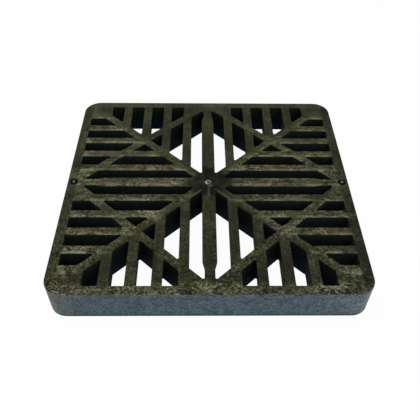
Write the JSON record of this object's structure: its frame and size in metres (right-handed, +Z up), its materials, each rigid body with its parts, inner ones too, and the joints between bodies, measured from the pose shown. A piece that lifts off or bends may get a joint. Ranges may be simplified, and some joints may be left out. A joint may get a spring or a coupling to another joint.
{
  "type": "gully grate",
  "caption": "Square drain grate with slots between straight bars, diagonal ribs and a diamond rib, held by screws through its rim.",
  "frame": {"origin": "middle of the grate, on the plane that its lower edge rests on", "axes": "+Z up, out of the walked-on face; +X to the right towards one screw, +Y to the back"},
  "size_m": [0.3046, 0.3046, 0.0357],
  "materials": {
    "moulded_plastic": "mottled, rough",
    "black_screw": "black, satin"
  },
  "bodies": {
    "root": {"grate": "moulded_plastic", "left_screw": "black_screw", "right_screw": "black_screw"}
  },
  "joints": []
}
